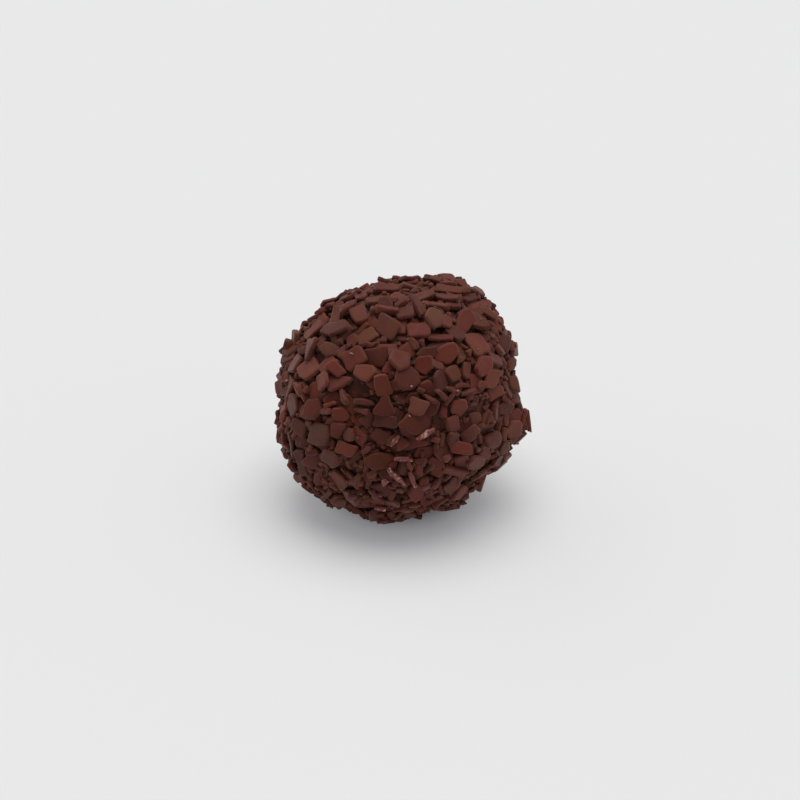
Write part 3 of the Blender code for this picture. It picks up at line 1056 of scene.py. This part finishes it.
class NodeBench:
    """A material's nodes, made one at a time."""

    def __init__(self, name: str) -> None:
        """Makes an empty material.

        Args:
            name: The material's name.
        """
        self.material = bpy.data.materials.new(name)
        self.material.use_nodes = True
        self.tree = self.material.node_tree
        self.shader = self.tree.nodes["Principled BSDF"]

    def node(self, kind: str, settings: dict[str, Any], inputs: dict[Any, Any], output: Any = 0) -> Shade:
        """Adds a node.

        Args:
            kind: The node's type.
            settings: Its own properties, set before its sockets.
            inputs: A value or a shade for each socket, by name or number.
            output: Which output to return.

        Returns:
            The output as a shade.
        """
        made = self.tree.nodes.new(kind)
        for name, value in settings.items():
            setattr(made, name, value)
        for key, value in inputs.items():
            self.feed(made.inputs[key], value)
        return Shade(self, made.outputs[output])

    def feed(self, socket: bpy.types.NodeSocket, value: Any) -> None:
        """Links a shade to a socket, or sets the socket to a value.

        Args:
            socket: The input to feed.
            value: A shade, or a plain value.
        """
        if isinstance(value, Shade):
            self.tree.links.new(value.socket, socket)
        else:
            socket.default_value = value

    def set(self, **inputs: Any) -> None:
        """Feeds the shader's own sockets, named with underscores for spaces."""
        for name, value in inputs.items():
            self.feed(self.shader.inputs[name.replace("_", " ")], value)

    def mark(self, name: str) -> Shade:
        """A mark that the mesh carries on its points."""
        return self.node("ShaderNodeAttribute", {"attribute_name": name}, {}, "Fac")

    def place(self) -> Shade:
        """The place in the piece's own space."""
        return self.node("ShaderNodeTexCoord", {}, {}, "Object")

    def noise(self, grain: Grain) -> Shade:
        """Soft noise from 0 to 1.

        Args:
            grain: The kind of noise.

        Returns:
            The noise as a shade.
        """
        inputs = {"Vector": self.place(), "Scale": grain.scale, "Detail": grain.detail}
        inputs["Roughness"] = grain.roughness
        return self.node("ShaderNodeTexNoise", {}, inputs, "Fac")

    def patches(self, grain: Grain) -> Shade:
        """Patches with soft edges, from 0 outside them to 1 inside."""
        return self.between(self.noise(grain), grain.low, grain.high)

    def between(self, value: Shade, low: float, high: float) -> Shade:
        """A soft step from 0 at low to 1 at high."""
        inputs = {"Value": value, "From Min": low, "From Max": high}
        return self.node("ShaderNodeMapRange", {"interpolation_type": "SMOOTHSTEP"}, inputs, "Result")

    def mixed(self, share: Shade | float, first: Shade | Colour, second: Shade | Colour) -> Shade:
        """A colour between two.

        Args:
            share: How much of the second colour there is.
            first: The colour where there is none of it.
            second: The colour where there is nothing else.

        Returns:
            The colour as a shade.
        """
        colours = [colour if isinstance(colour, Shade) else (*colour, 1.0) for colour in (first, second)]
        inputs = {"Factor": share, 6: colours[0], 7: colours[1]}
        return self.node("ShaderNodeMix", {"data_type": "RGBA", "clamp_factor": True}, inputs, 2)

    def tinted(self, colour: Shade, share: Shade, first: Colour, second: Colour) -> Shade:
        """A colour times a tint between two, by a share of the second."""
        inputs = {"Factor": 1.0, 6: colour, 7: self.mixed(share, first, second)}
        return self.node("ShaderNodeMix", {"data_type": "RGBA", "blend_type": "MULTIPLY"}, inputs, 2)

    def bump(self, height: Shade, distance: float, strength: float = 1.0) -> Shade:
        """A normal bent by a height that is worth this distance."""
        inputs = {"Height": height, "Distance": distance, "Strength": strength}
        return self.node("ShaderNodeBump", {}, inputs, "Normal")


@dataclass(frozen=True)
class ChipFinish:
    """Satin chocolate of the chips.

    Attributes:
        name: The material's name.
        dark: Colour of the darkest chips.
        light: Colour of the lightest chips.
        reddest: Tint of the reddest chips.
        brownest: Tint of the brownest chips.
        pinkest: Tint of the patches that lean to pink.
        yellowest: Tint of the patches that lean to yellow.
        rim: Colour painted on the edges, partly as rubbed wear and partly as a highlight.
        rim_wear_and_highlight_share: How much of that colour the edges take.
        roughness: Least and greatest roughness.
        specular: Strength of the gloss at right angles.
        dust: Strength of the pale bloom that shows at a slant.
        dust_colour: Colour of that bloom.
        dust_roughness: How evenly it shows over a slant.
        grain: Depth of the fine grain.
        own_tone: How much a chip's own tone counts.
        mottled: How much the mottling counts.
        darkened: How much darker all of it is.
        mottling: Lighter and darker spots.
        tints: Patches of the two tints.
        rubbing_and_highlight: Where edges are rubbed and painted lighter, as wear and as a highlight.
        dulling: Where the gloss is duller.
        fine: The fine grain.
    """

    name: str = "chocolate chips"
    dark: Colour = (0.061, 0.0151, 0.0087)
    light: Colour = (0.143, 0.0390, 0.0238)
    reddest: Colour = (1.15, 0.84, 0.90)
    brownest: Colour = (0.93, 1.09, 1.05)
    pinkest: Colour = (1.00, 0.96, 1.15)
    yellowest: Colour = (1.00, 1.04, 0.86)
    rim: Colour = (0.190, 0.071, 0.048)
    rim_wear_and_highlight_share: float = 0.28
    roughness: tuple[float, float] = (0.48, 0.66)
    specular: float = 0.14
    dust: float = 0.17
    dust_colour: Colour = (1.0, 0.84, 0.78)
    dust_roughness: float = 0.4
    grain: float = 0.00003
    own_tone: float = 0.75
    mottled: float = 0.5
    darkened: float = 0.12
    mottling: Grain = Grain(520.0, detail=4.0)
    tints: Grain = Grain(260.0)
    rubbing_and_highlight: Grain = Grain(1400.0, high=0.70)
    dulling: Grain = Grain(900.0, low=0.3, high=0.7)
    fine: Grain = Grain(3800.0, detail=5.0, roughness=0.6)

    def material(self) -> bpy.types.Material:
        """Builds the material from each chip's tone, mottling, rubbed edges with a painted highlight, and a
        fine grain.

        Returns:
            The new material.
        """
        bench = NodeBench(self.name)
        mottle = bench.noise(self.mottling)
        tone = bench.mark("tone") * self.own_tone + mottle * self.mottled - self.darkened
        body = bench.mixed(tone, self.dark, self.light)
        body = bench.tinted(body, bench.mark("hue"), self.reddest, self.brownest)
        body = bench.tinted(body, bench.patches(self.tints), self.pinkest, self.yellowest)
        # Lighter rims: partly rubbed wear, partly a painted highlight where light would catch the rounded
        # edges.
        worn = bench.mark("rim") * bench.patches(self.rubbing_and_highlight) * self.rim_wear_and_highlight_share
        low, high = self.roughness
        bench.set(
            Base_Color=bench.mixed(worn, body, self.rim),
            Roughness=bench.patches(self.dulling) * (high - low) + low,
            Specular_IOR_Level=self.specular,
            Sheen_Weight=self.dust,
            Sheen_Roughness=self.dust_roughness,
            Sheen_Tint=(*self.dust_colour, 1.0),
            Normal=bench.bump(bench.noise(self.fine), self.grain),
        )
        return bench.material


@dataclass(frozen=True)
class FudgeFinish:
    """Darker, moister fudge between the chips.

    Attributes:
        name: The material's name.
        dark: Colour in its darkest patches.
        light: Colour in its lightest patches.
        roughness: How rough its gloss is.
        specular: Strength of that gloss at right angles.
        grain: Depth of its lumps.
        lumps: How the lumps lie.
    """

    name: str = "chocolate fudge"
    dark: Colour = (0.052, 0.0170, 0.0095)
    light: Colour = (0.090, 0.0300, 0.0180)
    roughness: float = 0.50
    specular: float = 0.15
    grain: float = 0.00020
    lumps: Grain = Grain(700.0, detail=5.0)

    def material(self) -> bpy.types.Material:
        """Builds the material from two browns and a lumpy surface.

        Returns:
            The new material.
        """
        bench = NodeBench(self.name)
        lumps = bench.noise(self.lumps)
        bench.set(
            Base_Color=bench.mixed(lumps, self.dark, self.light),
            Roughness=self.roughness,
            Specular_IOR_Level=self.specular,
            Normal=bench.bump(lumps, self.grain),
        )
        return bench.material


@dataclass(frozen=True)
class StickFinish:
    """Shiny reddish chocolate of the sticks.

    Attributes:
        name: The material's name.
        dark: Colour in its darkest patches.
        light: Colour of the pale patches, painted glints that stand in for highlights.
        roughness: Least and greatest roughness.
        specular: Strength of its own gloss at right angles.
        gloss: Weight of the clear gloss over it.
        gloss_roughness: How rough that gloss is.
        grain: Depth of its ripples.
        ripples: How the ripples lie, which also places the painted glints.
    """

    name: str = "shiny chocolate"
    dark: Colour = (0.160, 0.0330, 0.0240)
    light: Colour = (0.680, 0.3600, 0.3000)
    roughness: tuple[float, float] = (0.20, 0.42)
    specular: float = 0.3
    gloss: float = 0.20
    gloss_roughness: float = 0.12
    grain: float = 0.00010
    ripples: Grain = Grain(1500.0, detail=4.0, low=0.53, high=0.70)

    def material(self) -> bpy.types.Material:
        """Builds the material from two browns, ripples and a wet gloss.

        Returns:
            The new material.
        """
        bench = NodeBench(self.name)
        ripples = bench.noise(self.ripples)
        # Pale patches painted on as glints, where highlights would show.
        lightest = bench.between(ripples, self.ripples.low, self.ripples.high)
        low, high = self.roughness
        bench.set(
            Base_Color=bench.mixed(lightest, self.dark, self.light),
            Roughness=ripples * (high - low) + low,
            Specular_IOR_Level=self.specular,
            Coat_Weight=self.gloss,
            Coat_Roughness=self.gloss_roughness,
            Normal=bench.bump(ripples, self.grain),
        )
        return bench.material


@dataclass(frozen=True)
class SpeckFinish:
    """Pale specks, partly real pale bits and partly painted glints.

    Attributes:
        name: The material's name.
        dark: Colour of the darkest specks.
        light: Colour of the lightest specks.
        roughness: How rough they are.
        own_tone: How much a speck's own tone counts.
        mottled: How much the mottling counts.
        darkened: How much darker all of it is.
        mottling: Lighter and darker spots.
    """

    name: str = "pale specks"
    dark: Colour = (0.20, 0.090, 0.070)
    light: Colour = (0.44, 0.27, 0.22)
    roughness: float = 0.5
    own_tone: float = 0.8
    mottled: float = 0.4
    darkened: float = 0.1
    mottling: Grain = Grain(4000.0)

    def material(self) -> bpy.types.Material:
        """Builds the material from each speck's tone and fine noise.

        Returns:
            The new material.
        """
        bench = NodeBench(self.name)
        mottle = bench.noise(self.mottling)
        share = bench.mark("tone") * self.own_tone + mottle * self.mottled - self.darkened
        bench.set(Base_Color=bench.mixed(share, self.dark, self.light), Roughness=self.roughness)
        return bench.material


@dataclass(frozen=True)
class FloorFinish:
    """Plain pale floor that glows though it is no lamp, a painted light, with a painted contact shadow round
    the sweet's foot.

    Attributes:
        name: The material's name.
        colour: Its even colour.
        roughness: How rough it is.
        glow_colour: Colour of the painted glow.
        glow: How strongly the floor glows, which lifts its shadows.
        painted_shadow_within: How near the sweet's foot the glow is painted out entirely, as a contact
            shadow.
        painted_shadow_ends: How far from there the painted shadow ends and all of the glow shows.
    """

    name: str = "pale floor"
    colour: Colour = (0.553, 0.549, 0.542)
    roughness: float = 0.9
    glow_colour: Colour = (0.93, 0.95, 1.0)
    glow: float = 0.222
    painted_shadow_within: float = 0.002
    painted_shadow_ends: float = 0.012

    def material(self) -> bpy.types.Material:
        """Builds the material from one colour, a painted glow and a painted contact shadow.

        Returns:
            The new material.
        """
        bench = NodeBench(self.name)
        # Painted contact shadow: the glow fades to nothing towards the sweet's foot.
        from_foot = bench.node("ShaderNodeVectorMath", {"operation": "LENGTH"}, {0: bench.place()}, "Value")
        outside_painted_shadow = bench.between(from_foot, self.painted_shadow_within, self.painted_shadow_ends)
        # Painted light: the floor glows, though it is no lamp.
        bench.set(
            Base_Color=(*self.colour, 1.0),
            Roughness=self.roughness,
            Specular_IOR_Level=0.0,
            Emission_Color=bench.mixed(outside_painted_shadow, NO_LIGHT, self.glow_colour),
            Emission_Strength=self.glow,
        )
        return bench.material


@dataclass
class Brigadeiro:
    """The sweet: its ball of fudge and the chips that it was rolled in.

    Attributes:
        form: The ball's form.
        cutter: What cuts the chips.
        seed: Starts the draws of the chips, and the next number those of the small bits.
        bed: The small chips pressed into the fudge.
        under: The larger chips over them.
        over: The chips that come down last among and over those.
        small: Slivers in the gaps.
        slats: Narrow chips that lie across the others.
        crumbs: Broken bits on top of it all.
        specks: Pale specks scattered over it.
        fudge_points: How many points the ball of fudge is made of.
        fudge_risen: How far the soft fudge has risen among the chips.
        even: Tone and hue of a chip halfway between its finish's colours.
        tone_spread: How much the chips' tones differ.
        hue_spread: How much their hues differ.
    """

    form: BallForm = field(default_factory=BallForm)
    cutter: ChipCutter = field(default_factory=ChipCutter)
    seed: int = 11
    bed: Layer = Layer(900, 0.0012, 0.0024, 0.55, 0.95, 6)
    under: Layer = Layer(260, 0.0019, 0.0030, 0.50, 0.95, 4)
    over: Layer = Layer(320, 0.0017, 0.0029, 0.45, 0.95, 8)
    small: Layer = Layer(260, 0.0007, 0.0015, 0.35, 0.90, 12)
    slats: Layer = Layer(200, 0.0013, 0.0024, 0.28, 0.44, 6)
    crumbs: Layer = Layer(600, 0.0005, 0.0012, 0.50, 0.95, 4)
    specks: Layer = Layer(60, 0.0002, 0.0003, 0.60, 0.95, 1)
    fudge_points: int = 9000
    fudge_risen: float = 0.00060
    even: float = 0.5
    tone_spread: float = 0.24
    hue_spread: float = 0.27

    def build(self) -> list[bpy.types.Object]:
        """Makes every piece of the sweet.

        Returns:
            The pieces.
        """
        coat = Coat(self.form, self.cutter)
        draws = np.random.default_rng(self.seed + 1)
        laid = self.lay_chips(coat)
        laid.update(self.lay_bits(coat, draws, [chip for chips in laid.values() for chip in chips]))
        chocolate = ChipFinish().material()
        kinds = (
            ("under_chips", BROAD, chocolate),
            ("front_chips", BROAD, chocolate),
            ("over_chips", BROAD, chocolate),
            ("chip_strips", STRIP, chocolate),
            ("chip_slats", SLAT, chocolate),
            ("small_chips", PLAIN, chocolate),
            ("chip_slivers", PLAIN, chocolate),
            ("crumbs", PELLET, chocolate),
            ("glossy_sticks", STICK, StickFinish().material()),
            ("pale_specks", PELLET, SpeckFinish().material()),
        )
        pieces = [self.fudge(FudgeFinish().material())]
        for name, mould, material in kinds:
            pieces.append(self.heap(name, laid[name], mould, material, draws))
        return pieces

    def lay_chips(self, coat: Coat) -> dict[str, list[Chip]]:
        """Lays the chips in the places that they have for the solid, which keeps only some of them.

        Args:
            coat: The coat on the bare fudge.

        Returns:
            The chips of each piece, by its name.
        """
        draws = np.random.default_rng(self.seed)
        return {
            "small_chips": coat.lay_loose(draws, self.bed),
            "under_chips": coat.lay_loose(draws, self.under),
            "front_chips": coat.lay_in_place(draws, FRONT_CHIPS, PLACED),
            "chip_strips": coat.lay_in_place(draws, FRONT_STRIPS, ON_EDGE),
            "over_chips": coat.lay_loose(draws, self.over),
        }

    def lay_bits(self, coat: Coat, draws: np.random.Generator, chips: list[Chip]) -> dict[str, list[Chip]]:
        """Lays the small bits among the chips and on top.

        Args:
            coat: The coat with its chips.
            draws: The seeded source of chance.
            chips: The chips that are there.

        Returns:
            The bits of each piece, by its name, each touching what is under it.
        """
        slivers = coat.lay_loose(draws, self.small)
        slats = coat.lay_loose(draws, self.slats, AS_SLATS)
        crumbs = coat.lay_loose(draws, self.crumbs, AS_CRUMBS)
        crumbs += coat.lay_in_place(draws, FRONT_SPLINTERS, STUCK_ON)
        crumbs += coat.lay_in_place(draws, WEDGED_CRUMBS, WEDGED_IN)
        sticks = coat.lay_in_place(draws, GLOSSY_STICKS, ON_TOP)
        specks = coat.lay_in_place(draws, FRONT_SPECKS, AS_SPECKS)
        specks += coat.lay_loose(draws, self.specks, AS_SPECKS)
        footing = Footing(self.form, chips)
        slivers, slats = footing.landed(slivers), footing.landed(slats)
        ground = chips + slivers + slats
        crumbs = Footing(self.form, ground).landed(crumbs)
        footing = Footing(self.form, ground + crumbs)
        return {
            "chip_slivers": slivers,
            "chip_slats": slats,
            "crumbs": crumbs,
            "glossy_sticks": footing.landed(sticks),
            "pale_specks": footing.landed(specks),
        }

    def heap(
        self,
        name: str,
        chips: list[Chip],
        mould: ChipMould,
        material: bpy.types.Material,
        draws: np.random.Generator,
    ) -> bpy.types.Object:
        """Joins chips into one piece.

        Args:
            name: The piece's name.
            chips: The chips in their places.
            mould: What gives them soft edges.
            material: Their finish.
            draws: The seeded source of chance.

        Returns:
            The piece.
        """
        heap = MeshHeap()
        spread = (self.tone_spread, self.hue_spread)
        for chip in chips:
            tone, hue = np.clip(draws.normal(self.even, spread), 0, 1)
            if chip.look is not Look.MIXED:
                tone, hue = chip.look.value
            mould.cast(chip, heap, draws, self.form.floor(), tone=tone, hue=hue)
        return self.dressed(heap.to_object(name), material)

    def fudge(self, material: bpy.types.Material) -> bpy.types.Object:
        """The ball of fudge under the chips, flattened where it stands.

        Args:
            material: Its finish.

        Returns:
            The piece.
        """
        directions = spread_directions(self.fudge_points)
        ball = bmesh.new()
        for towards in directions:
            ball.verts.new(towards)
        bmesh.ops.convex_hull(ball, input=ball.verts)
        reach = self.form.fudge_reach(directions) + self.fudge_risen
        for corner, length in zip(ball.verts, reach):
            corner.co *= length
            corner.co.z = max(corner.co.z, self.form.floor())
        bmesh.ops.recalc_face_normals(ball, faces=ball.faces)
        mesh = bpy.data.meshes.new("fudge_ball")
        ball.to_mesh(mesh)
        ball.free()
        mesh.shade_smooth()
        return self.dressed(in_scene("fudge_ball", mesh), material)

    def dressed(self, piece: bpy.types.Object, material: bpy.types.Material) -> bpy.types.Object:
        """Puts a piece in its place over the floor, with its finish, on the solid's body.

        Args:
            piece: The piece, made about the ball's centre.
            material: Its finish.

        Returns:
            The same piece.
        """
        piece.data.transform(Matrix.Translation(Vector(self.form.centre())))
        piece.data.materials.append(material)
        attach(piece, BODY)
        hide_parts(NODE)
        return piece


@dataclass(frozen=True)
class Lamp:
    """A wide soft lamp, far away.

    Attributes:
        name: The lamp's name.
        spread: How wide it looks from the sweet, in degrees.
        back: How far it leans back from overhead, away from the viewer, in degrees.
        aside: How far it leans from overhead to the viewer's right, in degrees.
        strength: How bright it is.
        HEIGHT: How high its holder hangs, which makes no difference to its light.
    """

    name: str
    spread: float
    back: float
    aside: float
    strength: float

    HEIGHT = 0.5

    def hang(self, centre: np.ndarray) -> None:
        """Hangs the lamp over the sweet.

        Args:
            centre: The ball's centre.
        """
        lamp = bpy.data.lights.new(self.name, "SUN")
        lamp.angle = math.radians(self.spread)
        lamp.energy = self.strength
        holder = in_scene(self.name, lamp)
        holder.location = (float(centre[0]), float(centre[1]), self.HEIGHT)
        holder.rotation_euler = (-math.radians(self.back), math.radians(self.aside), 0.0)


@dataclass(frozen=True)
class Studio:
    """Floor, lights and camera.

    Attributes:
        floor_size: Width of the square floor.
        lens: Focal length in millimetres.
        sensor: Width of the camera's sensor in millimetres.
        picture: Width of the picture in pixels.
        ball_at: Where the ball's centre is seen in the picture, in pixels from its top left.
        clip: Least and greatest distance that the camera sees.
        sky: Strength of the even light from all round.
        sky_colour: Colour of that light.
        overhead: The soft lamp overhead.
        from_the_left: The wide fill lamp on the left.
        from_the_right: The wide fill lamp on the right.
        from_behind: The wide, weak lamp that lights the upper edge from behind.
    """

    floor_size: float = 6.0
    lens: float = 85.0
    sensor: float = 36.0
    picture: int = 800
    ball_at: tuple[float, float] = (399.0, 397.0)
    clip: tuple[float, float] = (0.01, 20.0)
    sky: float = 0.20
    sky_colour: Colour = (1.0, 1.0, 1.0)
    overhead: Lamp = Lamp("lamp overhead", 52, 3, 3, 2.20)
    from_the_left: Lamp = Lamp("lamp on the left", 80, 25, -60, 0.65)
    from_the_right: Lamp = Lamp("lamp on the right", 80, 0, 60, 0.42)
    from_behind: Lamp = Lamp("lamp behind", 80, 66, -8, 0.30)

    def build(self, centre: np.ndarray) -> None:
        """Sets up the floor, the lights and the camera round the sweet.

        Args:
            centre: The ball's centre.
        """
        self.make_floor()
        self.make_sky()
        for lamp in (self.overhead, self.from_the_left, self.from_the_right, self.from_behind):
            lamp.hang(centre)
        self.make_camera(centre)

    def make_floor(self) -> None:
        """A plain floor at the foot of the sweet."""
        half = self.floor_size / 2
        mesh = bpy.data.meshes.new("floor")
        corners = [(-half, -half, 0), (half, -half, 0), (half, half, 0), (-half, half, 0)]
        mesh.from_pydata(corners, [], [(0, 1, 2, 3)])
        mesh.materials.append(FloorFinish().material())
        floor = in_scene("floor", mesh)

    def make_sky(self) -> None:
        """Even light from all round, and colours shown as they are."""
        world = bpy.data.worlds.new("studio")
        world.use_nodes = True
        light = world.node_tree.nodes["Background"].inputs
        light["Strength"].default_value = self.sky
        light["Color"].default_value = (*self.sky_colour, 1.0)
        bpy.context.scene.world = world
        bpy.context.scene.view_settings.view_transform = "Standard"

    def make_camera(self, centre: np.ndarray) -> None:
        """A camera that looks down on the front.

        Args:
            centre: The ball's centre.
        """
        metres_per_pixel = VIEW_DISTANCE * self.sensor / self.lens / self.picture
        right = (self.picture / 2 - self.ball_at[0]) * metres_per_pixel
        up = (self.ball_at[1] - self.picture / 2) * metres_per_pixel
        aim = centre + right * TO_THE_RIGHT + up * UPWARDS
        camera = bpy.data.cameras.new("camera")
        camera.lens = self.lens
        camera.sensor_width = self.sensor
        camera.clip_start, camera.clip_end = self.clip
        holder = in_scene("camera", camera)
        axes = Matrix((TO_THE_RIGHT, UPWARDS, TO_THE_VIEWER)).transposed().to_4x4()
        holder.matrix_world = Matrix.Translation(Vector(aim + VIEW_DISTANCE * TO_THE_VIEWER)) @ axes
        bpy.context.scene.camera = holder


def main() -> None:
    """Builds the sweet and its surroundings."""
    logging.basicConfig(level=logging.INFO, format="%(name)s: %(message)s")
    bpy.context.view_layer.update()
    sweet = Brigadeiro()
    for piece in sweet.build():
        log.info("%s: %d faces", piece.name, len(piece.data.polygons))
    Studio().build(sweet.form.centre())


if __name__ == "__main__":
    main()
